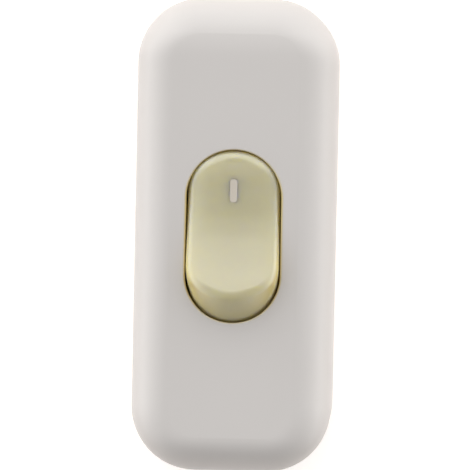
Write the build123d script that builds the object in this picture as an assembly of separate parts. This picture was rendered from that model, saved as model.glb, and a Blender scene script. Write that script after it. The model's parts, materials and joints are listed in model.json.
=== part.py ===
from build123d import *

import os
from math import acos, asin, cos, degrees, hypot, radians, sin, sqrt, tan

# In-line rocker switch for a lamp cord: a two-part casing, a rocker and the single-pole works inside.
# Millimetres. The casing lies on its back: the origin is the middle of the back face, +Z points out of the
# front, and +Y runs along the casing towards the end of the rocker with the on mark, which is pressed in.

# Casing
case_width = 28.0
case_length = 66.2
case_height = 20.0
corner_radius = 9.0
face_edge_radius = 5.0
back_edge_radius = 2.2
side_wall = 1.9
face_wall = 2.0
floor_wall = 2.0
parting_height = 9.5
seam_chamfer = 0.25
tongue_thickness = 0.8
tongue_height = 1.2
seat_gap = 0.1

# Cord inlets, half in each cover
inlet_width = 7.6
inlet_height = 5.6
inlet_mouth = 0.6

# Rocker and its opening
opening_width = 13.2
opening_length = 23.75
opening_edge_radius = 0.2
rocker_side_gap = 0.15
rocker_end_gap = 0.3
pivot_depth = 7.0
half_throw = 10.0
pressed_rise = 0.5
rim_radius = 1.4
dish_depth = 1.05
dish_crown = 0.2
edge_fall = 0.8
dish_hollow = 0.14
crease_softness = 0.08
rocker_wall = 1.5
rocker_top_wall = 1.9
skirt_angle = 78.0
skirt_drop = 2.2
skirt_foot = 4.5
web_thickness = 1.2
mark_width = 1.0
mark_length = 3.2
mark_corner = 0.44
mark_offset = 4.95
mark_depth = 0.3

# Rocker bearings
trunnion_radius = 1.5
trunnion_chamfer = 0.3
cheek_thickness = 1.8
cheek_length = 9.0
cheek_drop = 3.0
gusset_thickness = 1.2
running_gap = 0.06

# Plunger and its spring, inside the rocker's boss
plunger_radius = 1.6
plunger_shoulder = 3.0
plunger_tip_gap = 0.05
spigot_radius = 0.9
spigot_length = 1.4
boss_wall = 1.04
boss_drop = 2.4
spring_wire = 0.32
spring_turns = 5
spring_bore_gap = 0.2
spring_end_gap = 0.03

# See-saw contact and its fulcrum
seesaw_width = 4.0
seesaw_reach = 6.4
seesaw_thickness = 0.7
seesaw_rise_angle = 5.0
seesaw_half_tilt = 9.0
seesaw_corner = 0.8
waist_cut = 0.5
waist_half_length = 0.8
fulcrum_rise = 1.35
fulcrum_edge = 0.4
fulcrum_bed = 0.2
fulcrum_gap = 0.05
prong_width = 0.8
prong_rise = 0.6

# Contact rivets
contact_reach = 5.2
contact_radius = 1.2
contact_head = 0.35
contact_dome = 0.2
contact_shank = 0.6
contact_upset = 0.3
contact_gap = 0.03
fixed_contact_radius = 1.5

# Terminal strips, blocks and screws
strip_thickness = 0.8
strip_width = 2.0
pad_height = 1.15
cross_bar_width = 3.0
block_width = 4.2
block_depth = 4.6
block_height = 6.2
block_gap = 0.5
block_edge = 0.4
wire_hole_radius = 1.4
wire_hole_rise = 2.4
tenon_radius = 0.7
terminal_head_radius = 1.75
terminal_head_height = 1.3
terminal_shank_radius = 1.2
terminal_shank_length = 4.4

# Walls and ribs between the works, the neutral bar and the wiring bays
barrier_margin = 0.35
barrier_thickness = 1.5
barrier_side_gap = 0.5
barrier_stop_gap = 0.1
shield_thickness = 0.6
shield_length = 18.0
shield_height = 4.5
shield_gap = 0.2
stop_length = 1.2

# Casing screws, in from the back
casing_boss_radius = 2.6
casing_boss_offset = 1.2
casing_joint_drop = 1.5
casing_head_radius = 2.4
casing_head_height = 1.5
casing_head_depth = 2.1
casing_shank_radius = 1.4
casing_shank_length = 11.4
counterbore_wall = 1.0

# Cord clamps
clamp_setback = 4.4
clamp_wall_gap = 2.7
clamp_end_margin = 2.4
clamp_width = 4.4
clamp_thickness = 2.6
clamp_seat_rise = 1.2
clamp_rib_width = 6.4
clamp_rib_drop = 1.1
clamp_rib_radius = 1.0
clamp_edge_chamfer = 0.5
clamp_boss_radius = 2.2
clamp_head_radius = 2.1
clamp_head_height = 1.5
clamp_shank_radius = 1.15
clamp_shank_length = 8.0
cradle_thickness = 1.2
cradle_drop = 3.2
cradle_radius = 6.0

# Screw details shared by every size
thread_clearance = 0.05
hole_clearance = 0.1
head_clearance = 0.2
screw_tip_gap = 1.0
screw_slot_width = 0.6
screw_slot_depth = 0.6
screw_head_chamfer = 0.35
screw_nose_chamfer = 0.55

# Casing places
inner_width = case_width - 2 * side_wall
inner_length = case_length - 2 * side_wall
cover_ceiling = case_height - face_wall

# Rocker places, heights counted from the pivot
pivot_height = case_height - pivot_depth
rocker_width = opening_width - 2 * rocker_side_gap
rocker_end_radius = hypot(opening_length / 2 - rocker_end_gap, pivot_depth)
opening_end_radius = hypot(opening_length / 2, pivot_depth)
corner_angle = degrees(acos((pivot_depth + pressed_rise) / rocker_end_radius)) - half_throw
corner_y = rocker_end_radius * sin(radians(corner_angle))
corner_z = rocker_end_radius * cos(radians(corner_angle))
crease_z = corner_z - dish_depth
cavity_top = crease_z - rocker_top_wall
skirt_z = rocker_end_radius * cos(radians(skirt_angle))
bore_radius = plunger_radius + running_gap
cheek_x = opening_width / 2
trunnion_reach = cheek_x + cheek_thickness - seat_gap
slot_half = trunnion_radius + running_gap

# Works places
strip_bottom = floor_wall + pad_height
strip_top = strip_bottom + strip_thickness
fulcrum_height = strip_top + fulcrum_rise
seesaw_top = fulcrum_bed + seesaw_thickness
waist_half = seesaw_width / 2 - waist_cut
fork_half = waist_half + seat_gap + prong_width
shield_x = fork_half + shield_gap
strip_x = shield_x + shield_thickness + shield_gap + strip_width / 2
dome_radius = (contact_radius**2 + contact_dome**2) / (2 * contact_dome)

# Barrier, terminal, boss and clamp places
barrier_outer = opening_length / 2 + barrier_margin + barrier_thickness / 2
pressed_skirt = skirt_z / cos(radians(half_throw)) - barrier_outer * tan(radians(half_throw))
barrier_top = pivot_height + pressed_skirt - barrier_stop_gap
terminal_x = casing_boss_radius + block_gap + block_width / 2
terminal_y = barrier_outer + block_gap + block_depth / 2
block_top = strip_top + block_height
casing_boss_y = terminal_y + casing_boss_offset
casing_joint_height = parting_height - casing_joint_drop
clamp_half_length = inner_width / 2 - clamp_wall_gap
clamp_x = clamp_half_length - clamp_end_margin
clamp_y = inner_length / 2 - clamp_setback
clamp_seat_height = parting_height + clamp_seat_rise
clamp_top = clamp_seat_height + clamp_thickness
cradle_height = parting_height - cradle_drop

BLANK_STEPS = 5
WIRE_STEPS = 8
DISH_STATIONS = (0.1, 0.25, 0.45, 0.65, 0.85, 0.92, 1.0, 1.1, 1.2)
ARCH_STEPS = 4
BOTH_ENDS = (1, -1)


def casing_plan(inset, height):
    """The casing's plan outline, drawn in by an inset, lying at a height."""
    outline = RectangleRounded(case_width - 2 * inset, case_length - 2 * inset, corner_radius - inset)
    return Pos(0, 0, height) * outline


def block(x_range, y_range, z_range):
    """A box given by its two limits along each axis."""
    limits = [sorted(pair) for pair in (x_range, y_range, z_range)]
    sizes = [high - low for low, high in limits]
    middle = [(high + low) / 2 for low, high in limits]
    return Pos(*middle) * Box(*sizes)


def around(middle, half):
    """The two limits that lie half a size to each side of a middle."""
    return middle - half, middle + half


def post(radius, x, y, bottom, top):
    """An upright cylinder between two heights."""
    upright = Cylinder(radius, top - bottom, align=(Align.CENTER, Align.CENTER, Align.MIN))
    return Pos(x, y, bottom) * upright


def rod_across(radius, x, z, length):
    """A cylinder along X, centred at an x and a height over the switch's middle."""
    return Pos(x, 0, z) * Rot(0, 90, 0) * Cylinder(radius, length)


def side_profile(points, half_width):
    """A closed outline in the YZ plane, drawn out to both sides of the middle."""
    face = make_face(Polyline(*points, close=True))
    return extrude(Plane.YZ * face, half_width, both=True)


def stadium_stack(radius, width, low, high):
    """Stadium sections whose ends follow a circle about the pivot, lofted between two heights over it."""
    heights = [low + (high - low) * step / BLANK_STEPS for step in range(BLANK_STEPS + 1)]
    sections = [
        Pos(0, 0, height) * SlotOverall(2 * sqrt(radius**2 - height**2), width, rotation=90)
        for height in heights
    ]
    return loft(sections)


def on_rocker(shape):
    """Carries a shape from the rocker's own level frame to its place with the marked end pressed in."""
    return Pos(0, 0, pivot_height) * Rot(-half_throw, 0, 0) * shape


def on_seesaw(shape):
    """Carries a shape from the see-saw's level frame to its place with the contacts closed."""
    return Pos(0, 0, fulcrum_height) * Rot(seesaw_half_tilt, 0, 0) * shape


def turned_to(side, shape):
    """Turns a shape made on the plus side half round for the minus side."""
    return shape if side > 0 else Rot(0, 0, 180) * shape


def cord_inlets():
    """The two oval passages through the end walls, flared at the mouth, centred on the parting plane."""
    passage = Plane.XZ * SlotOverall(inlet_width, inlet_height)
    mouth = Plane.XZ * SlotOverall(inlet_width + 2 * inlet_mouth, inlet_height + 2 * inlet_mouth)
    cutter = extrude(passage, 2 * side_wall, both=True)
    cutter += loft([Pos(0, -inlet_mouth, 0) * passage.face(), mouth.face()])
    one_end = Pos(0, case_length / 2, parting_height) * cutter
    return one_end + Rot(0, 0, 180) * one_end


def front_cover():
    """The front shell: soft front edges, the rocker's opening, bearing cheeks and two screw bosses."""
    outer = extrude(casing_plan(0, parting_height), case_height - parting_height)
    outer = fillet(outer.edges().group_by(Axis.Z)[-1], face_edge_radius)
    outer = chamfer(outer.edges().group_by(Axis.Z)[0], seam_chamfer)
    inner = extrude(casing_plan(side_wall, parting_height), cover_ceiling - parting_height)
    inner = fillet(inner.edges().group_by(Axis.Z)[-1], face_edge_radius - side_wall)
    rebate_inset = side_wall - tongue_thickness - seat_gap
    rebate = extrude(casing_plan(rebate_inset, parting_height), tongue_height + seat_gap)
    shell = outer - inner - rebate

    for side in BOTH_ENDS:
        boss = post(casing_boss_radius, 0, side * casing_boss_y, casing_joint_height, cover_ceiling)
        shell += boss + turned_to(side, bearing_cheek())
    low = pivot_depth - 2 * face_wall
    high = pivot_depth + opening_edge_radius
    shell -= Pos(0, 0, pivot_height) * stadium_stack(opening_end_radius, opening_width, low, high)
    face = shell.faces().filter_by(Axis.Z).sort_by(Axis.Z)[-1]
    shell = fillet(face.inner_wires()[0].edges(), opening_edge_radius)

    pilot_radius = casing_shank_radius + thread_clearance
    pilot_top = casing_head_depth + casing_shank_length + screw_tip_gap
    for side in BOTH_ENDS:
        shell -= post(pilot_radius, 0, side * casing_boss_y, casing_joint_height, pilot_top)
    return shell - cord_inlets()


def bearing_cheek():
    """A cheek beside the opening, slotted from below for the trunnion, with a gusset at each end."""
    inside = cheek_x
    outside = cheek_x + cheek_thickness
    bottom = pivot_height - cheek_drop
    half = cheek_length / 2
    cheek = block((inside, outside), (-half, half), (bottom, cover_ceiling))
    cheek -= block((inside, outside), (-slot_half, slot_half), (bottom, pivot_height))
    cheek -= rod_across(slot_half, (inside + outside) / 2, pivot_height, cheek_thickness)
    gusset_top = case_height - face_edge_radius
    for end in BOTH_ENDS:
        gusset_y = (end * half, end * (half - gusset_thickness))
        cheek += block((outside, inner_width / 2), gusset_y, (bottom, gusset_top))
    return cheek


def back_cover():
    """The back shell: floor, tongue, bearing posts, barriers, pads, clamp bosses and screw sleeves."""
    outer = extrude(casing_plan(0, 0), parting_height)
    outer = fillet(outer.edges().group_by(Axis.Z)[0], back_edge_radius)
    outer = chamfer(outer.edges().group_by(Axis.Z)[-1], seam_chamfer)
    tongue = extrude(casing_plan(side_wall - tongue_thickness, parting_height), tongue_height)
    inner = extrude(casing_plan(side_wall, floor_wall), parting_height + tongue_height - floor_wall)
    shell = outer + tongue - inner

    for side in BOTH_ENDS:
        shell += turned_to(side, bearing_post())
        shell += barrier(side)
        shell += casing_sleeve(side)
        shell += clamp_seat(side)
        for x in (terminal_x, -terminal_x):
            shell += pad(around(x, block_width / 2), around(side * terminal_y, block_depth / 2))
    shell += pad((-strip_x, fork_half), around(0, cross_bar_width / 2))
    shell += pad((-strip_x, fixed_contact_radius), around(-contact_reach, cross_bar_width / 2))
    shell += seesaw_stop() + shield()

    for side in BOTH_ENDS:
        y = side * casing_boss_y
        shell -= post(casing_shank_radius + hole_clearance, 0, y, 0, casing_joint_height)
        shell -= post(casing_head_radius + head_clearance, 0, y, 0, casing_head_depth)
    return shell - cord_inlets()


def pad(x_range, y_range):
    """A raised pad on the floor that a strip lies on."""
    return block(x_range, y_range, (floor_wall, strip_bottom))


def bearing_post():
    """A post that closes the cheek's slot under the trunnion, with a round seat on top."""
    x_range = (cheek_x + seat_gap, cheek_x + cheek_thickness - seat_gap)
    upright = block(x_range, around(0, slot_half - seat_gap), (floor_wall, pivot_height))
    return upright - rod_across(slot_half, sum(x_range) / 2, pivot_height, cheek_thickness)


def barrier(side):
    """The wall across one end of the works. Its top stops the pressed end of the rocker."""
    y_range = (side * (barrier_outer - barrier_thickness), side * barrier_outer)
    wall = block(around(0, cheek_x - barrier_side_gap), y_range, (floor_wall, barrier_top))
    for x in (strip_x, -strip_x):
        wall -= block(around(x, strip_width / 2 + seat_gap), y_range, (floor_wall, strip_top + seat_gap))
    return wall


def casing_sleeve(side):
    """The sleeve round a casing screw, wider at its foot to carry the counterbore."""
    y = side * casing_boss_y
    foot_radius = casing_head_radius + head_clearance + counterbore_wall
    foot = post(foot_radius, 0, y, floor_wall, casing_head_depth + counterbore_wall)
    return foot + post(casing_boss_radius, 0, y, floor_wall, casing_joint_height)


def clamp_seat(side):
    """Two bosses for a cord clamp's screws and, between them, the hollowed wall that the cord lies on."""
    y = side * clamp_y
    cradle = block((-clamp_x, clamp_x), around(y, cradle_thickness / 2), (floor_wall, cradle_height))
    hollow_rise = sqrt(cradle_radius**2 - (inlet_width / 2) ** 2)
    hollow = Rot(90, 0, 0) * Cylinder(cradle_radius, 2 * cradle_thickness)
    cradle -= Pos(0, y, cradle_height + hollow_rise) * hollow
    for x in (clamp_x, -clamp_x):
        cradle += post(clamp_boss_radius, x, y, floor_wall, clamp_seat_height)
    for x in (clamp_x, -clamp_x):
        pilot_bottom = clamp_top - clamp_shank_length - hole_clearance
        cradle -= post(clamp_shank_radius + thread_clearance, x, y, pilot_bottom, clamp_seat_height)
    return cradle


def seesaw_stop():
    """A rib that the free arm of the see-saw comes down on when the switch is off."""
    fall = seesaw_reach * tan(radians(seesaw_half_tilt - seesaw_rise_angle))
    top = fulcrum_height + fulcrum_bed * cos(radians(seesaw_half_tilt)) - fall - fulcrum_gap
    return block(around(0, waist_half), (seesaw_reach - stop_length, seesaw_reach), (floor_wall, top))


def shield():
    """The insulating rib between the works and the neutral bar."""
    x_range = (shield_x, shield_x + shield_thickness)
    return block(x_range, around(0, shield_length / 2), (floor_wall, floor_wall + shield_height))


def dish_height(y):
    """Height of the rocker's face on its centre line: two hollow flanks that meet in a soft crease."""
    share = abs(y) / corner_y
    flank = hypot(share, crease_softness) - crease_softness
    hollow = 4 * dish_hollow * share * (1 - share)
    return crease_z + dish_depth * flank - hollow


def crown_fall(x):
    """How far the rocker's face falls away from its centre line: gently at first, faster at the edges."""
    share = 2 * abs(x) / rocker_width
    return dish_crown * share**2 + edge_fall * share**4


def dish_cutter():
    """The space over the rocker's face: an arch across the rocker, carried along the dished centre line."""
    half = rocker_width / 2 + rim_radius
    roof = corner_z + 2 * rim_radius
    places = [half * step / ARCH_STEPS for step in range(-ARCH_STEPS, ARCH_STEPS + 1)]
    sections = []
    for share in (*(-s for s in reversed(DISH_STATIONS)), 0, *DISH_STATIONS):
        y = share * corner_y
        z = dish_height(y)
        points = [(x, z - crown_fall(x)) for x in places]
        sides = Polyline(points[-1], (half, roof), (-half, roof), points[0])
        sections.append(Plane.XZ.offset(-y) * make_face([Spline(*points), sides]))
    return loft(sections)


def rocker_and_mark():
    """The moulded rocker with its trunnions and plunger boss, and the on mark let into its face."""
    body = stadium_stack(rocker_end_radius, rocker_width, -skirt_drop, corner_z + rim_radius)
    body -= dish_cutter()
    body = fillet([edge for edge in body.edges() if edge.center().Z > cavity_top], rim_radius)

    below = -2 * skirt_drop
    hollow_width = rocker_width - 2 * rocker_wall
    body -= stadium_stack(rocker_end_radius - rocker_wall, hollow_width, below, cavity_top)
    skirt_inner = rocker_end_radius * sin(radians(skirt_angle)) - 2 * rocker_wall
    beyond = rocker_end_radius + rocker_wall
    for end in BOTH_ENDS:
        slope = [(skirt_inner, skirt_z), (skirt_foot, -skirt_drop)]
        outside = [(skirt_foot, below), (beyond, below), (beyond, skirt_z)]
        body -= side_profile([(end * y, z) for y, z in slope + outside], rocker_width)

    body += block(around(0, hollow_width / 2), around(0, web_thickness / 2), (trunnion_radius, cavity_top))
    body += post(bore_radius + boss_wall, 0, 0, -boss_drop, cavity_top)
    body -= post(bore_radius, 0, 0, -boss_drop, cavity_top)
    for side in BOTH_ENDS:
        body += turned_to(side, trunnion())

    foot = dish_height(mark_offset) - mark_depth
    outline = Pos(0, mark_offset, foot) * RectangleRounded(mark_width, mark_length, mark_corner)
    prism = extrude(outline, dish_depth + mark_depth)
    return body - prism, body & prism


def trunnion():
    """One pivot pin on the rocker's side wall, with a chamfered nose."""
    length = trunnion_reach - rocker_width / 2 + rocker_wall / 2
    pin = chamfer(Cylinder(trunnion_radius, length).edges().group_by(Axis.Z)[-1], trunnion_chamfer)
    return Pos(trunnion_reach - length / 2, 0, 0) * Rot(0, 90, 0) * pin


def plunger():
    """The spring-loaded pin that pushes the see-saw over: round nose, body and a spigot for the spring."""
    tip = fulcrum_height + seesaw_top + plunger_tip_gap - pivot_height
    nose_start = tip + plunger_radius
    half_way = plunger_radius * sin(radians(45))
    nose = ThreePointArc((0, tip), (half_way, nose_start - half_way), (plunger_radius, nose_start))
    sides = Polyline(
        (plunger_radius, nose_start),
        (plunger_radius, plunger_shoulder),
        (spigot_radius, plunger_shoulder),
        (spigot_radius, plunger_shoulder + spigot_length),
        (0, plunger_shoulder + spigot_length),
        (0, tip),
    )
    return revolve(Plane.XZ * make_face([nose, sides]), Axis.Z)


def plunger_spring():
    """The coil spring between the plunger's shoulder and the end of its bore, its wire drawn with flats."""
    bottom = plunger_shoulder + spring_end_gap + spring_wire / 2
    top = cavity_top - spring_end_gap - spring_wire / 2
    mean_radius = plunger_radius - spring_bore_gap - spring_wire / 2
    path = Pos(0, 0, bottom) * Helix((top - bottom) / spring_turns, top - bottom, mean_radius)
    section = Plane(path @ 0, z_dir=path % 0) * RegularPolygon(spring_wire / 2, WIRE_STEPS)
    return sweep(section, path, is_frenet=True)


def seesaw_contact():
    """The rocking brass strip: two arms in a shallow V, a waist and a groove that sits on the fulcrum."""
    end_z = fulcrum_bed + seesaw_reach * tan(radians(seesaw_rise_angle))
    under = [(-seesaw_reach, end_z), (0, fulcrum_bed), (seesaw_reach, end_z)]
    over = [(y, z + seesaw_thickness) for y, z in reversed(under)]
    strip = side_profile(under + over, seesaw_width / 2)
    corners = [edge for edge in strip.edges().filter_by(Axis.Z) if abs(edge.center().Y) > seesaw_reach / 2]
    strip = fillet(corners, seesaw_corner)
    strip -= rod_across(fulcrum_edge + fulcrum_gap, 0, 0, 2 * seesaw_width)
    for side in BOTH_ENDS:
        notch_x = (side * waist_half, side * seesaw_width)
        strip -= block(notch_x, around(0, waist_half_length), (0, 2 * seesaw_top))
    return strip - contact_frame() * Cylinder(contact_shank + thread_clearance, 4 * seesaw_thickness)


def contact_frame():
    """Place of the moving contact under its arm: the origin on the arm's underside, +Z out of its face."""
    rise = radians(seesaw_rise_angle)
    under = (0, -contact_reach, fulcrum_bed + contact_reach * tan(rise))
    return Plane(origin=under, x_dir=(1, 0, 0), z_dir=(0, -sin(rise), -cos(rise)))


def moving_contact_rivet():
    """The domed silver rivet under the see-saw's closing arm, upset over its upper side."""
    face = contact_head + contact_dome
    half_way = asin(contact_radius / dome_radius) / 2
    dome = ThreePointArc(
        (contact_radius, contact_head),
        (dome_radius * sin(half_way), face - dome_radius * (1 - cos(half_way))),
        (0, face),
    )
    upset_radius = contact_shank + contact_upset
    sides = Polyline(
        (0, face),
        (0, -seesaw_thickness - contact_upset),
        (upset_radius, -seesaw_thickness - contact_upset),
        (upset_radius, -seesaw_thickness),
        (contact_shank, -seesaw_thickness),
        (contact_shank, 0),
        (contact_radius, 0),
        (contact_radius, contact_head),
    )
    return contact_frame() * revolve(Plane.XZ * make_face([dome, sides]), Axis.Z)


def fixed_contact_top():
    """Height of the fixed contact's face, just under the lowest point of the closed moving contact."""
    rise = radians(seesaw_rise_angle)
    tilt = radians(seesaw_half_tilt)
    centre_depth = contact_head + contact_dome - dome_radius
    centre_y = -contact_reach - centre_depth * sin(rise)
    centre_z = fulcrum_bed + contact_reach * tan(rise) - centre_depth * cos(rise)
    return fulcrum_height + centre_y * sin(tilt) + centre_z * cos(tilt) - dome_radius - contact_gap


def fixed_contact_rivet():
    """The flat silver rivet on the fixed contact's strip."""
    shank = post(contact_shank, 0, -contact_reach, strip_bottom, strip_top)
    return shank + post(fixed_contact_radius, 0, -contact_reach, strip_top, fixed_contact_top())


def strip_run(x_range, y_range):
    """A straight run of terminal strip."""
    return block(x_range, y_range, (strip_bottom, strip_top))


def strip_leg(x, start, side):
    """The run of a strip that leads from a start to under its terminal block, with the tenon's hole."""
    leg = strip_run(around(x, strip_width / 2), (start, side * (terminal_y + block_depth / 2)))
    return leg - post(tenon_radius + thread_clearance, x, side * terminal_y, strip_bottom, strip_top)


def fulcrum_terminal():
    """The live strip with the fork that carries the see-saw: a rounded edge between two prongs."""
    half_bar = cross_bar_width / 2
    strip = strip_run((-strip_x - strip_width / 2, fork_half), (-half_bar, half_bar))
    strip += strip_leg(-strip_x, half_bar, 1)
    edge_range = around(0, fulcrum_edge)
    fork = block(around(0, fork_half), edge_range, (strip_bottom, fulcrum_height))
    fork += rod_across(fulcrum_edge, 0, fulcrum_height, 2 * fork_half)
    prong_top = fulcrum_height + seesaw_top + prong_rise
    for side in BOTH_ENDS:
        prong_x = (side * (fork_half - prong_width), side * fork_half)
        fork += block(prong_x, edge_range, (fulcrum_height, prong_top))
    return strip + fork


def fixed_contact_terminal():
    """The switched strip: it carries the fixed contact and leads to the other live terminal."""
    near = -contact_reach + cross_bar_width / 2
    far = -contact_reach - cross_bar_width / 2
    strip = strip_run((-strip_x - strip_width / 2, fixed_contact_radius), (near, far))
    strip += strip_leg(-strip_x, far, -1)
    return strip - post(contact_shank + thread_clearance, 0, -contact_reach, strip_bottom, strip_top)


def neutral_bar():
    """The strip that passes the neutral straight through, from one terminal to the other."""
    return strip_leg(strip_x, 0, 1) + strip_leg(strip_x, 0, -1)


def terminal_block(x_side, y_side):
    """A brass pillar with a cross hole for the wire, a screw hole from above and a tenon underneath."""
    x = x_side * terminal_x
    y = y_side * terminal_y
    pillar = block(around(x, block_width / 2), around(y, block_depth / 2), (strip_top, block_top))
    pillar = chamfer(pillar.edges().filter_by(Axis.Z), block_edge)
    wire_hole = Rot(90, 0, 0) * Cylinder(wire_hole_radius, 2 * block_depth)
    pillar -= Pos(x, y, strip_top + wire_hole_rise) * wire_hole
    screw_bottom = block_top - terminal_shank_length
    pillar -= post(terminal_shank_radius + thread_clearance, x, y, screw_bottom, block_top)
    return pillar + post(tenon_radius, x_side * strip_x, y, strip_bottom, strip_top)


def slotted_screw(head_radius, head_height, shank_radius, shank_length):
    """A slotted screw standing on its tip: the head's underside at the origin, the shank below it."""
    head = Cylinder(head_radius, head_height)
    head = Pos(0, 0, head_height / 2) * chamfer(head.edges().group_by(Axis.Z)[-1], screw_head_chamfer)
    slot_z = (head_height - screw_slot_depth, head_height)
    head -= block(around(0, head_radius), around(0, screw_slot_width / 2), slot_z)
    shank = Cylinder(shank_radius, shank_length)
    shank = chamfer(shank.edges().group_by(Axis.Z)[0], screw_nose_chamfer)
    return head + Pos(0, 0, -shank_length / 2) * shank


def four_screws(screw, x, y, seat):
    """Copies of a screw at the four corners of a rectangle, seated at a height."""
    places = [(x_side * x, y_side * y) for x_side in BOTH_ENDS for y_side in BOTH_ENDS]
    return Compound(children=[Pos(*place, seat) * screw for place in places])


def terminal_screws():
    """The four screws that pinch the wires in their blocks."""
    screw = slotted_screw(
        terminal_head_radius, terminal_head_height, terminal_shank_radius, terminal_shank_length
    )
    return four_screws(screw, terminal_x, terminal_y, block_top)


def cord_clamp(side):
    """A clamp bar with rounded ends, two screw holes and a rib that presses on the cord."""
    outline = Pos(0, 0, clamp_seat_height) * SlotOverall(2 * clamp_half_length, clamp_width)
    bar = extrude(outline, clamp_thickness)
    bar = chamfer(bar.edges().group_by(Axis.Z)[-1], clamp_edge_chamfer)
    rib_z = (clamp_seat_height - clamp_rib_drop, clamp_seat_height)
    rib = block(around(0, clamp_rib_width / 2), around(0, clamp_rib_drop), rib_z)
    bar += fillet(rib.edges().group_by(Axis.Z)[0].filter_by(Axis.X), clamp_rib_radius)
    for x in (clamp_x, -clamp_x):
        bar -= post(clamp_shank_radius + hole_clearance, x, 0, clamp_seat_height, clamp_top)
    return Pos(0, side * clamp_y, 0) * bar


def clamp_screws():
    """The four screws that hold the cord clamps down."""
    screw = slotted_screw(clamp_head_radius, clamp_head_height, clamp_shank_radius, clamp_shank_length)
    return four_screws(screw, clamp_x, clamp_y, clamp_top)


def casing_screws():
    """The two screws from the back that hold the covers together."""
    screw = slotted_screw(casing_head_radius, casing_head_height, casing_shank_radius, casing_shank_length)
    upside_down = Rot(180, 0, 0) * screw
    return Compound(
        children=[Pos(0, side * casing_boss_y, casing_head_depth) * upside_down for side in BOTH_ENDS]
    )


def main():
    rocker, mark = rocker_and_mark()
    parts = {
        "front_cover": front_cover(),
        "back_cover": back_cover(),
        "rocker": on_rocker(rocker),
        "on_mark": on_rocker(mark),
        "plunger": on_rocker(plunger()),
        "plunger_spring": on_rocker(plunger_spring()),
        "seesaw_contact": on_seesaw(seesaw_contact()),
        "moving_contact_rivet": on_seesaw(moving_contact_rivet()),
        "fixed_contact_rivet": fixed_contact_rivet(),
        "fulcrum_terminal": fulcrum_terminal(),
        "fixed_contact_terminal": fixed_contact_terminal(),
        "neutral_bar": neutral_bar(),
        "live_in_block": terminal_block(-1, 1),
        "live_out_block": terminal_block(-1, -1),
        "neutral_in_block": terminal_block(1, 1),
        "neutral_out_block": terminal_block(1, -1),
        "terminal_screws": terminal_screws(),
        "upper_cord_clamp": cord_clamp(1),
        "lower_cord_clamp": cord_clamp(-1),
        "clamp_screws": clamp_screws(),
        "casing_screws": casing_screws(),
    }
    os.makedirs("parts", exist_ok=True)
    for name, shape in parts.items():
        export_step(shape, f"parts/{name}.step")


main()
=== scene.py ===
"""Looks of an in-line rocker switch: satin white casing, cream rocker and the metal works inside it.

Metres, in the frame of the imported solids: +Z out of the front, +Y towards the end with the on mark.
"""

import json
from math import cos, radians, sin
from typing import NamedTuple

import bmesh
import bpy
import numpy as np
from mathutils import Matrix, Vector


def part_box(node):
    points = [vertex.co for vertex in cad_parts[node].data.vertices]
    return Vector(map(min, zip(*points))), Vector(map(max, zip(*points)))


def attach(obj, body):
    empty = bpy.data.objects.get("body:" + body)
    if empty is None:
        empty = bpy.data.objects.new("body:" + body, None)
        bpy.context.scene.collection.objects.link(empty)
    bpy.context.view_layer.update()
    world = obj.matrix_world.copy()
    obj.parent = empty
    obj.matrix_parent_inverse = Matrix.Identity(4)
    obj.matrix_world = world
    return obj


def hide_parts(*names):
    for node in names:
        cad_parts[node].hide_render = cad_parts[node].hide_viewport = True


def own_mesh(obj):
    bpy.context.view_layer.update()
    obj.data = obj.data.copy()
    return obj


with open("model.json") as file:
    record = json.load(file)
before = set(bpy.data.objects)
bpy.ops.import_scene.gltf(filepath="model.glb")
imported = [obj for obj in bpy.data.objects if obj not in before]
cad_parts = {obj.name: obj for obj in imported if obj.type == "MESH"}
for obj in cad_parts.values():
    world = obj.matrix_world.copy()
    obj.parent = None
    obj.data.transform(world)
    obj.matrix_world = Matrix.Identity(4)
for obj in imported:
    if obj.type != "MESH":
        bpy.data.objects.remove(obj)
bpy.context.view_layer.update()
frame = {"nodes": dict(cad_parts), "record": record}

# Camera: a long lens over the front, leaning a little to the right and up and rolled, in degrees
VIEW_WIDTH = 0.0659
VIEW_CENTRE = (0.00005, 0.00003, 0.0150)
CAMERA_DISTANCE = 0.50
SENSOR_WIDTH = 36.0
LEAN_RIGHT = 2.6
LEAN_UP = 2.2
ROLL = 1.195

# Studio light: a dim tent with strips at the floor, walls over them and high windows, heights in degrees
TENT_FILL = 0.04
STRIP_LEVELS = {"left": 7.2, "right": 10.0}
STRIP_FADE = 8.0
WALL_LEVELS = {"left": 2.6, "right": 1.6, "far": 3.0}
WALL_HEIGHT = 25.0
WALL_SPREAD = 14.0
WINDOW_LEVELS = {"left": 2.4, "right": 0.7, "far": 10.3}
WINDOW_HEIGHT = 58.0
WINDOW_SPREAD = 20.0

# Floor
FLOOR_SIZE = 3.0
FLOOR_DROP = 0.0001
FLOOR_PALE = (0.70, 0.63, 0.58)
FLOOR_GLOW = 0.64

# Colours of the finishes, linear
CASING_WHITE = (0.607, 0.580, 0.560)
# painted light: warm amber bounce from the rocker, on the casing's edge and wall round the opening
PAINTED_BOUNCE_AMBER = (0.60, 0.47, 0.16)
ROCKER_CREAM = (0.510, 0.474, 0.312)
# painted shade: the rocker's steep walls take this darker, deeper amber
ROCKER_WALL_SHADE = (0.52, 0.425, 0.19)
MARK_WHITE = (0.54, 0.49, 0.42)
NYLON_WHITE = (0.80, 0.79, 0.74)
SPRING_GREY = (0.55, 0.55, 0.56)
BRASS_YELLOW = (0.80, 0.60, 0.28)
SILVER_GREY = (0.84, 0.83, 0.80)
ZINC_GREY = (0.66, 0.67, 0.69)

# Painted amber bounce light round the opening, standing for warm light thrown from the rocker: the opening's
# size, the painted light's reach on the face and its heights on the wall
OPENING_HALF_WIDTH = 0.0066
OPENING_HALF_LENGTH = 0.011875
BOUNCE_REACH = 0.0004
BOUNCE_FOOT = 0.0170
BOUNCE_TOP = 0.0180

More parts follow.
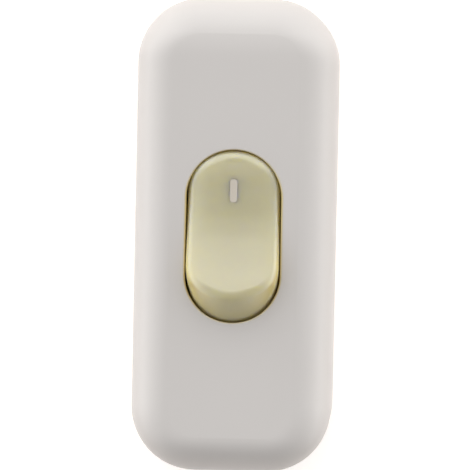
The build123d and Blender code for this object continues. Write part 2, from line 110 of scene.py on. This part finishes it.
# Plastics: clouds and grain, how far each varies the roughness, and how deep light goes
CLOUD_SIZE = 0.012
CLOUD_DETAIL = 3.0
CLOUD_GLOSS = 0.08
GRAIN_DETAIL = 2.0
GRAIN_GLOSS = 0.10
SHALLOW_GLOW = (0.0010, 0.0009, 0.0007)

# Resin of the rocker: it is face or wall by the upward part of its normal, the walls get a darker amber as
# painted shade, and its face has a clear coat
RESIN_CLOUD_SIZE = 0.008
RESIN_CLOUD_GLOSS = 0.06
RESIN_GRAIN_GLOSS = 0.08
FACE_NORMAL_Z = 0.86
WALL_NORMAL_Z = 0.30
WALL_DULLNESS = 0.35
RESIN_SPECULAR = 0.15
COAT_ROUGHNESS = 0.30
COAT_IOR = 1.7
AMBER_GLOW = (0.0045, 0.0040, 0.0016)

# Metals: drawn lines and patches of tarnish, how far each varies the roughness, and the patches' light share
LINE_SIZE = 0.0002
LINE_DETAIL = 3.0
LINE_GLOSS = 0.16
PATCH_SIZE = 0.003
PATCH_DETAIL = 4.0
PATCH_GLOSS = 0.12
BRIGHT_SHARE = 0.4

# Screws
WELD_DISTANCE = 0.000001
SHARP_ANGLE = 35.0
PLACE_DECIMALS = 5
TURN_STEPS = 32
THREAD_ROWS = 8
THREAD_DEPTH_SHARE = 0.42
CREST_HEIGHT = 1.25
CREST_SLOPE = 3.4
NECK_TURNS = 1.5
SHANK_GRIP = 0.0002
NOSE_CHAMFER = 0.00055
SLOT_HALF = 0.0003
SLOT_DEPTH = 0.0006
HEAD_ROUNDING = 0.00035
LUG_ROWS = 9
CHORD_STEPS = 25

# Spring
SPRING_WIRE = 0.00032
SPRING_TURNS = 5
CLOSED_TURNS = 0.6
WIRE_STEPS = 16

# Sockets of a Mix node that mixes colours
MIX_FIRST = 6
MIX_SECOND = 7
MIX_RESULT = 2


class Bend(NamedTuple):
    """A soft change of slope: where it starts and how long it is in metres, and the slope that it adds."""

    start: float
    length: float
    slope: float


FAR_BENDS = (Bend(0.0252, 0.0030, 0.16), Bend(0.0284, 0.0020, -0.18))
NEAR_BENDS = (Bend(0.0280, 0.0025, 0.15),)
PRESSED_BENDS = (Bend(0.0076, 0.0026, 0.31), Bend(0.0102, 0.0006, -0.62), Bend(0.0112, 0.0012, 0.31))
RAISED_BENDS = (Bend(0.0057, 0.0014, 0.13), Bend(0.0071, 0.0011, -0.28), Bend(0.0083, 0.0020, 0.15))


class Screw(NamedTuple):
    """The sizes of a slotted screw in metres. Upright is 1 with the head up and -1 with the head down."""

    head_radius: float
    head_height: float
    shank_radius: float
    shank_length: float
    pitch: float
    upright: int


SCREWS = {
    "terminal_screws": Screw(0.00175, 0.0013, 0.0012, 0.0044, 0.00045, 1),
    "clamp_screws": Screw(0.0021, 0.0015, 0.00115, 0.0080, 0.0008, 1),
    "casing_screws": Screw(0.0024, 0.0015, 0.0014, 0.0114, 0.0009, -1),
}


class Field:
    """A shader value that varies over a surface. Each operator adds one Math node."""

    def __init__(self, finish, socket):
        self.finish = finish
        self.socket = socket

    def math(self, operation, first, second):
        return self.finish.node("ShaderNodeMath", {"operation": operation}, {0: first, 1: second})

    def __add__(self, other):
        return self.math("ADD", self, other)

    def __radd__(self, other):
        return self.math("ADD", other, self)

    def __sub__(self, other):
        return self.math("SUBTRACT", self, other)

    def __rsub__(self, other):
        return self.math("SUBTRACT", other, self)

    def __mul__(self, other):
        return self.math("MULTIPLY", self, other)

    def __rmul__(self, other):
        return self.math("MULTIPLY", other, self)

    def __pow__(self, other):
        return self.math("POWER", self, other)

    def above(self, floor):
        return self.math("MAXIMUM", self, floor)

    def below(self, ceiling):
        return self.math("MINIMUM", self, ceiling)


class Finish:
    """A node tree being written, of a material or of the world."""

    def __init__(self, owner):
        owner.use_nodes = True
        self.tree = owner.node_tree
        self.tree.nodes.clear()

    def node(self, kind, settings=None, inputs=None, output=0):
        """Adds a node, its settings first and then its sockets' values or links, and gives one output."""
        made = self.tree.nodes.new(kind)
        for name, value in (settings or {}).items():
            setattr(made, name, value)
        for name, value in (inputs or {}).items():
            if isinstance(value, Field):
                self.tree.links.new(value.socket, made.inputs[name])
            else:
                made.inputs[name].default_value = value
        return Field(self, made.outputs[output]) if made.outputs else made

    def place(self):
        """The place on the piece, in metres."""
        return self.node("ShaderNodeTexCoord", output="Object")

    def part(self, vector, axis):
        """The part of a vector along one axis."""
        return self.node("ShaderNodeSeparateXYZ", None, {"Vector": vector}, output=axis)

    def noise(self, size, detail, stretch=(1.0, 1.0, 1.0)):
        """Soft noise from 0 to 1 with features of a size in metres, stretched along the axes."""
        scaled = self.node("ShaderNodeMapping", None, {"Vector": self.place(), "Scale": stretch})
        inputs = {"Vector": scaled, "Scale": 1 / size, "Detail": detail}
        return self.node("ShaderNodeTexNoise", None, inputs, output="Fac")

    def ramp(self, value, start, end):
        """Rises softly from 0 to 1 as a value goes from a start to an end."""
        inputs = {"Value": value, "From Min": start, "From Max": end}
        return self.node("ShaderNodeMapRange", {"interpolation_type": "SMOOTHSTEP"}, inputs)

    def between(self, share, first, second):
        """A colour that goes from a first to a second by a share. Each is one colour or varies."""
        first, second = (end if isinstance(end, Field) else (*end, 1.0) for end in (first, second))
        inputs = {"Factor": share, MIX_FIRST: first, MIX_SECOND: second}
        return self.node("ShaderNodeMix", {"data_type": "RGBA"}, inputs, output=MIX_RESULT)

    def clouded(self, colour, noise, darker, lighter):
        """A colour that noise makes darker and lighter, by a share of it at most."""
        return self.between(noise, tinted(colour, 1 - darker), tinted(colour, 1 + lighter))

    def uneven(self, level, *noises):
        """A level that goes up and down with noises, each given with its full spread."""
        for noise, spread in noises:
            level = level + spread * (noise - 0.5)
        return level

    def fall(self, place, bends):
        """How far a line falls, in metres, along a place: each bend adds its slope evenly over its length.

        With w the way into the bend in lengths, and c that way up to 1, the bend's fall is half its length
        times its slope times c (2 w - c): a parabola, and then a straight line.
        """
        depth = 0.0
        for bend in bends:
            way = ((place - bend.start) * (1 / bend.length)).above(0.0)
            curved = way.below(1.0)
            depth = depth + 0.5 * bend.length * bend.slope * curved * (2 * way - curved)
        return depth

    def bump(self, height):
        """A normal that follows a height field in metres."""
        return self.node("ShaderNodeBump", None, {"Height": height, "Strength": 1.0, "Distance": 1.0})

    def surface(self, inputs):
        """Ends the tree in one principled surface."""
        shader = self.node("ShaderNodeBsdfPrincipled", None, inputs)
        self.node("ShaderNodeOutputMaterial", None, {"Surface": shader})


def tinted(colour, factor):
    """A colour made lighter or darker by a factor."""
    return tuple(channel * factor for channel in colour)


def satin_casing(name, colour, roughness, grain_size, grain_depth, clouding):
    """Satin moulded plastic: faint clouds, fine grain, soft ends and painted amber bounce light round the
    opening.

    The relief falls towards both ends by the casing's bends. The painted amber, warm light thrown from the
    rocker onto the opening's edge and wall, goes by the distance from the opening's outline, two half
    circles joined
    by straight sides: the length of (x, the part of y past the straight sides), less the half width. It
    fades out on the face and ends at the wall's foot.
    """
    material = bpy.data.materials.new(name)
    finish = Finish(material)
    cloud = finish.noise(CLOUD_SIZE, CLOUD_DETAIL)
    grain = finish.noise(grain_size, GRAIN_DETAIL)
    x, y, z = (finish.part(finish.place(), axis) for axis in "XYZ")
    along = (0.0 - y).above(y)
    past_sides = (along - (OPENING_HALF_LENGTH - OPENING_HALF_WIDTH)).above(0.0)
    outside = (x * x + past_sides * past_sides) ** 0.5 - OPENING_HALF_WIDTH
    # painted light: an amber tint on the opening's edge and wall that stands for warm light thrown from the
    # rocker
    painted_bounce = finish.ramp(outside, BOUNCE_REACH, 0.0) * finish.ramp(z, BOUNCE_FOOT, BOUNCE_TOP)
    white = finish.clouded(colour, cloud, clouding, clouding)
    fall = finish.fall(y, FAR_BENDS) + finish.fall(0.0 - y, NEAR_BENDS)
    finish.surface({
        # the casing white, turned to painted amber bounce light round the opening
        "Base Color": finish.between(painted_bounce, white, PAINTED_BOUNCE_AMBER),
        "Roughness": finish.uneven(roughness, (grain, GRAIN_GLOSS), (cloud, CLOUD_GLOSS)),
        "Normal": finish.bump(grain_depth * grain - fall),
    })
    return material


def moulded_plastic(name, colour, roughness, grain_size, grain_depth, clouding, glow=0.0):
    """Moulded plastic: faint clouds in the colour, and a fine eroded grain in the gloss and the relief."""
    material = bpy.data.materials.new(name)
    finish = Finish(material)
    cloud = finish.noise(CLOUD_SIZE, CLOUD_DETAIL)
    grain = finish.noise(grain_size, GRAIN_DETAIL)
    finish.surface({
        "Base Color": finish.clouded(colour, cloud, clouding, clouding),
        "Roughness": finish.uneven(roughness, (grain, GRAIN_GLOSS), (cloud, CLOUD_GLOSS)),
        "Normal": finish.bump(grain_depth * grain),
        "Subsurface Weight": glow,
        "Subsurface Radius": SHALLOW_GLOW,
        "Subsurface Scale": 1.0,
    })
    return material


def amber_resin(name, face_colour, wall_shade_colour, roughness, grain_size, grain_depth, clouding):
    """Glossy, slightly clear resin: pale and coated on the face, duller on the steep walls, which carry
    painted shade: a darker, deeper amber.

    The relief is the grain, less a fall at each end that softens the start of the rim.
    """
    material = bpy.data.materials.new(name)
    finish = Finish(material)
    cloud = finish.noise(RESIN_CLOUD_SIZE, CLOUD_DETAIL)
    grain = finish.noise(grain_size, GRAIN_DETAIL)
    facing = finish.part(finish.node("ShaderNodeTexCoord", output="Normal"), "Z")
    steepness = finish.ramp(facing, FACE_NORMAL_Z, WALL_NORMAL_Z)
    pale, wall_shade = (finish.clouded(end, cloud, clouding, clouding) for end in (face_colour, wall_shade_colour))
    dullness = roughness + WALL_DULLNESS * steepness
    along = finish.part(finish.place(), "Y")
    fall = finish.fall(along, PRESSED_BENDS) + finish.fall(0.0 - along, RAISED_BENDS)
    finish.surface({
        # painted shade: the steep walls get the darker amber, chosen by the upward part of the normal
        "Base Color": finish.between(steepness, pale, wall_shade),
        "Roughness": finish.uneven(dullness, (grain, RESIN_GRAIN_GLOSS), (cloud, RESIN_CLOUD_GLOSS)),
        "Normal": finish.bump(grain_depth * grain - fall),
        "Specular IOR Level": RESIN_SPECULAR,
        "Subsurface Weight": 1.0,
        "Subsurface Radius": AMBER_GLOW,
        "Subsurface Scale": 1.0,
        "Coat Weight": 1 - steepness,
        "Coat Roughness": COAT_ROUGHNESS,
        "Coat IOR": COAT_IOR,
    })
    return material


def worked_metal(name, colour, roughness, stretch, scratch_depth, tarnish):
    """Worked metal: fine drawn lines along one axis, and faint tarnish in patches."""
    material = bpy.data.materials.new(name)
    finish = Finish(material)
    lines = finish.noise(LINE_SIZE, LINE_DETAIL, stretch)
    patches = finish.noise(PATCH_SIZE, PATCH_DETAIL)
    finish.surface({
        "Base Color": finish.clouded(colour, patches, tarnish, BRIGHT_SHARE * tarnish),
        "Metallic": 1.0,
        "Roughness": finish.uneven(roughness, (lines, LINE_GLOSS), (patches, PATCH_GLOSS)),
        "Normal": finish.bump(scratch_depth * lines),
    })
    return material


def dress_nodes():
    """Gives every solid the finish of its record slot, and lists the finishes by slot."""
    finishes = {
        "casing_plastic": satin_casing(
            "satin_white_casing", CASING_WHITE,
            roughness=0.42, grain_size=0.00016, grain_depth=0.000003, clouding=0.012,
        ),
        "rocker_plastic": amber_resin(
            "cream_rocker", ROCKER_CREAM, ROCKER_WALL_SHADE,
            roughness=0.25, grain_size=0.00012, grain_depth=0.000001, clouding=0.015,
        ),
        "mark_plastic": moulded_plastic(
            "white_mark", MARK_WHITE,
            roughness=0.45, grain_size=0.00012, grain_depth=0.000002, clouding=0.015,
        ),
        "inner_plastic": moulded_plastic(
            "natural_nylon", NYLON_WHITE,
            roughness=0.38, grain_size=0.0002, grain_depth=0.000002, clouding=0.02, glow=0.3,
        ),
        "spring_steel": worked_metal(
            "drawn_spring_wire", SPRING_GREY,
            roughness=0.30, stretch=(1, 1, 8), scratch_depth=0.000001, tarnish=0.15,
        ),
        "brass": worked_metal(
            "stamped_brass", BRASS_YELLOW,
            roughness=0.30, stretch=(6, 0.4, 6), scratch_depth=0.000001, tarnish=0.22,
        ),
        "contact_silver": worked_metal(
            "contact_silver", SILVER_GREY,
            roughness=0.22, stretch=(1, 1, 1), scratch_depth=0.0000005, tarnish=0.10,
        ),
        "screw_steel": worked_metal(
            "zinc_plated_steel", ZINC_GREY,
            roughness=0.28, stretch=(1, 1, 3), scratch_depth=0.0000008, tarnish=0.12,
        ),
    }
    for row in frame["record"]["subparts"]:
        slots = frame["nodes"][row["node"]].data.materials
        slots.clear()
        slots.append(finishes[row["material_slot"]])
    return finishes


def add_piece(name, grids, node, finishes):
    """One piece from grids of points, in place of a node.

    Seams and poles are welded, and faces are turned outwards.
    """
    quads = []
    first = 0
    for grid in grids:
        rows, columns = grid.shape[:2]
        index = first + np.arange(rows * columns).reshape(rows, columns)
        ring = (index[:-1, :-1], index[:-1, 1:], index[1:, 1:], index[1:, :-1])
        quads.append(np.stack(ring, axis=-1).reshape(-1, 4))
        first += rows * columns
    points = np.concatenate([grid.reshape(-1, 3) for grid in grids])
    mesh = bpy.data.meshes.new(name)
    mesh.from_pydata(points.tolist(), [], np.concatenate(quads).tolist())
    work = bmesh.new()
    work.from_mesh(mesh)
    bmesh.ops.remove_doubles(work, verts=work.verts, dist=WELD_DISTANCE)
    bmesh.ops.dissolve_degenerate(work, edges=work.edges, dist=WELD_DISTANCE)
    bmesh.ops.recalc_face_normals(work, faces=work.faces)
    work.to_mesh(mesh)
    work.free()
    mesh.shade_smooth()
    mesh.set_sharp_from_angle(angle=radians(SHARP_ANGLE))
    slot = next(row["material_slot"] for row in frame["record"]["subparts"] if row["node"] == node)
    mesh.materials.append(finishes[slot])
    piece = bpy.data.objects.new(name, mesh)
    bpy.context.scene.collection.objects.link(piece)
    bodies = frame["record"]["behaviour"]["bodies"]
    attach(piece, next(body for body, nodes in bodies.items() if node in nodes))
    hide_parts(node)
    return piece


def threaded_shank(screw):
    """A screw's shank below the origin, on rows that climb with the thread, so that its crest follows a row.

    At a share of a turn and a row counted in pitches, the height over the tip is the pitch times their sum,
    held between the tip and the grip in the head. The radius is the shank's, less the thread's depth where a
    flat-topped wave of the row is low. The wave fades out below the head, and a cone cuts the nose.
    """
    reach = screw.shank_length + SHANK_GRIP
    turn = np.linspace(0.0, 1.0, TURN_STEPS + 1)[None, :]
    row = np.arange(-THREAD_ROWS, int(THREAD_ROWS * reach / screw.pitch) + 2)[:, None] / THREAD_ROWS
    height = np.clip(screw.pitch * (row + turn), 0.0, reach)
    crest = np.clip(CREST_HEIGHT - CREST_SLOPE * np.abs(row % 1.0 - 0.5), 0.0, 1.0)
    neck = np.clip((screw.shank_length - height) / (NECK_TURNS * screw.pitch), 0.0, 1.0)
    radius = screw.shank_radius - THREAD_DEPTH_SHARE * screw.pitch * (1 - crest * neck)
    radius = np.minimum(radius, screw.shank_radius - NOSE_CHAMFER + height)
    radius[[0, -1]] = 0.0
    angle = 2 * np.pi * turn
    return np.stack([radius * np.cos(angle), radius * np.sin(angle), height - screw.shank_length], axis=-1)


def slotted_head(screw):
    """A screw's head on the origin: its face with the slot along X, and its wall with the underside.

    The face is a grid of chords across the round head. Its height falls by a quarter circle at the rim, and
    two doubled rows step down to the slot's floor. The wall drops from the face's rim to the underside and
    its middle.
    """
    lug = SLOT_HALF + (screw.head_radius - SLOT_HALF) * np.sin(np.linspace(0.0, np.pi / 2, LUG_ROWS))
    across = np.concatenate([-lug[::-1], [-SLOT_HALF, SLOT_HALF], lug])[:, None]
    in_slot = np.repeat([False, True, False], [LUG_ROWS, 2, LUG_ROWS])[:, None]
    share = np.sin(np.linspace(-np.pi / 2, np.pi / 2, CHORD_STEPS))[None, :]
    x = share * np.sqrt(np.maximum(screw.head_radius**2 - across**2, 0.0))
    y = across + 0 * share
    out = np.clip((np.hypot(x, y) - screw.head_radius) / HEAD_ROUNDING + 1, 0.0, 1.0)
    top = screw.head_height - HEAD_ROUNDING * (1 - np.sqrt(1 - out**2))
    z = np.where(in_slot, np.minimum(top, screw.head_height - SLOT_DEPTH), top)
    face = np.stack([x, y, z], axis=-1)
    rim = np.concatenate([face[:, -1], face[::-1, 0]])
    wall = np.stack([0 * rim, rim * (1, 1, 0), rim])
    return face, wall


def cut_screws(finishes):
    """Threaded, slotted screws in place of the plain ones, where the plain ones stand."""
    for node, screw in SCREWS.items():
        low, high = (np.array(corner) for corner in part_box(node))
        x, y = high[:2] - screw.head_radius
        seat = high[2] - screw.head_height if screw.upright > 0 else low[2] + screw.head_height
        signs = ((1, 1), (1, -1), (-1, 1), (-1, -1))
        places = {(round(side * x, PLACE_DECIMALS), round(end * y, PLACE_DECIMALS)) for side, end in signs}
        shells = (threaded_shank(screw), *slotted_head(screw))
        upright = np.array((1, screw.upright, screw.upright))
        grids = [shell * upright + (*place, seat) for place in sorted(places) for shell in shells]
        add_piece(f"threaded_{node}", grids, node, finishes)


def wound_spring(finishes):
    """A coil of round wire with closed end turns, in place of the plunger's drawn spring.

    The line turns about the plunger's axis at one radius and climbs by a wire's thickness a turn, and faster
    between the closed turns. A circle is carried along it, and its ends are shut.
    """
    joints = {row["name"]: row for row in frame["record"]["behaviour"]["joints"]}
    axis = np.array(joints["plunger_slide"]["axis"])
    pivot = np.array(joints["rocker_tilt"]["pos_m"])
    solid = frame["nodes"]["plunger_spring"].data
    corners = np.empty(3 * len(solid.vertices))
    solid.vertices.foreach_get("co", corners)
    corners = corners.reshape(-1, 3) - pivot
    along = corners @ axis
    bottom, top = along.min(), along.max()
    coil_radius = np.linalg.norm(corners - along[:, None] * axis, axis=1).max() - SPRING_WIRE / 2

    share = np.linspace(0.0, 1.0, SPRING_TURNS * TURN_STEPS + 1)
    opened = np.clip(SPRING_TURNS * np.minimum(share, 1 - share) - CLOSED_TURNS, 0.0, 1.0)
    lift = np.cumsum(opened) / np.sum(opened)
    closed_height = SPRING_TURNS * SPRING_WIRE
    open_height = top - bottom - SPRING_WIRE - closed_height
    height = bottom + SPRING_WIRE / 2 + closed_height * share + open_height * lift
    angle = 2 * np.pi * SPRING_TURNS * share[:, None]
    across = np.array((1.0, 0.0, 0.0))
    radial = np.cos(angle) * across + np.sin(angle) * np.cross(axis, across)
    line = pivot + coil_radius * radial + height[:, None] * axis
    heading = np.gradient(line, axis=0)
    heading = heading / np.linalg.norm(heading, axis=1, keepdims=True)
    side = np.cross(heading, radial)
    around = np.linspace(0.0, 2 * np.pi, WIRE_STEPS + 1)[None, :, None]
    ring = np.cos(around) * radial[:, None] + np.sin(around) * side[:, None]
    wire = line[:, None] + SPRING_WIRE / 2 * ring
    first, last = (np.broadcast_to(end, wire[:1].shape) for end in (line[0], line[-1]))
    shut_wire = np.concatenate([first, wire, last])
    spring = add_piece("round_wire_spring", [shut_wire], "plunger_spring", finishes)
    travel = joints["plunger_slide"]["range_m"][1]
    1 - travel / (top - bottom)
    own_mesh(spring)


def seen_directly(finish):
    """One where a ray comes from the camera, a reflection or a see-through surface, and nought elsewhere."""
    rays = [
        finish.node("ShaderNodeLightPath", output=kind)
        for kind in ("Is Camera Ray", "Is Glossy Ray", "Is Transmission Ray")
    ]
    return rays[0].above(rays[1]).above(rays[2])


def pale_floor():
    """A plain pale floor that keeps the shadow, and glows a little where it is seen directly."""
    half = FLOOR_SIZE / 2
    corners = [(x * half, y * half, -FLOOR_DROP) for x, y in ((-1, -1), (1, -1), (1, 1), (-1, 1))]
    mesh = bpy.data.meshes.new("floor")
    mesh.from_pydata(corners, [], [(0, 1, 2, 3)])
    floor = bpy.data.objects.new("floor", mesh)
    bpy.context.scene.collection.objects.link(floor)
    material = bpy.data.materials.new("white_floor")
    finish = Finish(material)
    matt = finish.node("ShaderNodeBsdfDiffuse", None, {"Color": (*FLOOR_PALE, 1.0)})
    glow = finish.node("ShaderNodeEmission", None, {"Strength": FLOOR_GLOW * seen_directly(finish)})
    both = finish.node("ShaderNodeAddShader", None, {0: matt, 1: glow})
    finish.node("ShaderNodeOutputMaterial", None, {"Surface": both})
    mesh.materials.append(material)


def studio_tent():
    """Soft light from the left, right and far sides: strips at the floor, walls over them and high windows.

    For a direction (x, y, z) each side's share is the square of x or y on that side, and a ring is the sum
    of its levels times the shares. The brightness is the fill, + (1 - z)^fade times the strips, + c^spread
    times the walls and times the windows, with c the cosine of the angle up or down to their height. The
    camera sees plain white there.
    """
    world = bpy.data.worlds.new("studio_tent")
    bpy.context.scene.world = world
    finish = Finish(world)
    direction = finish.node("ShaderNodeTexCoord", output="Generated")
    x, y, z = (finish.part(direction, axis) for axis in "XYZ")
    sides = {"left": 0.0 - x, "right": x, "far": y}
    shares = {name: side.above(0.0) ** 2.0 for name, side in sides.items()}
    level_part = (1 - z * z).above(0.0) ** 0.5

    def ring(levels):
        return sum(level * shares[name] for name, level in levels.items())

    def band(height, spread):
        return (z * sin(radians(height)) + level_part * cos(radians(height))).above(0.0) ** spread

    lowness = 1 - z.above(0.0)
    light = TENT_FILL + lowness ** STRIP_FADE * ring(STRIP_LEVELS)
    light = light + band(WALL_HEIGHT, WALL_SPREAD) * ring(WALL_LEVELS)
    light = light + band(WINDOW_HEIGHT, WINDOW_SPREAD) * ring(WINDOW_LEVELS)
    shown = finish.node("ShaderNodeLightPath", output="Is Camera Ray")
    strength = light + shown * (1 - light)
    background = finish.node("ShaderNodeBackground", None, {"Strength": strength})
    finish.node("ShaderNodeOutputWorld", None, {"Surface": background})


def aim_camera():
    """Puts the camera on a line that leans from the upright, and rolls it about that line."""
    back = Vector((sin(radians(LEAN_RIGHT)), sin(radians(LEAN_UP)), 1.0)).normalized()
    right = Vector((0.0, 1.0, 0.0)).cross(back).normalized()
    up = back.cross(right)
    turn = radians(ROLL)
    rolled_right = right * cos(turn) + up * sin(turn)
    rolled_up = up * cos(turn) - right * sin(turn)
    data = bpy.data.cameras.new("camera")
    data.sensor_width = SENSOR_WIDTH
    data.lens = SENSOR_WIDTH * CAMERA_DISTANCE / VIEW_WIDTH
    camera = bpy.data.objects.new("camera", data)
    place = Vector(VIEW_CENTRE) + back * CAMERA_DISTANCE
    axes = Matrix((rolled_right, rolled_up, back)).transposed().to_4x4()
    camera.matrix_world = Matrix.Translation(place) @ axes
    bpy.context.scene.collection.objects.link(camera)
    bpy.context.scene.camera = camera


finishes = dress_nodes()
cut_screws(finishes)
wound_spring(finishes)
pale_floor()
studio_tent()
aim_camera()
bpy.context.scene.view_settings.view_transform = "Standard"
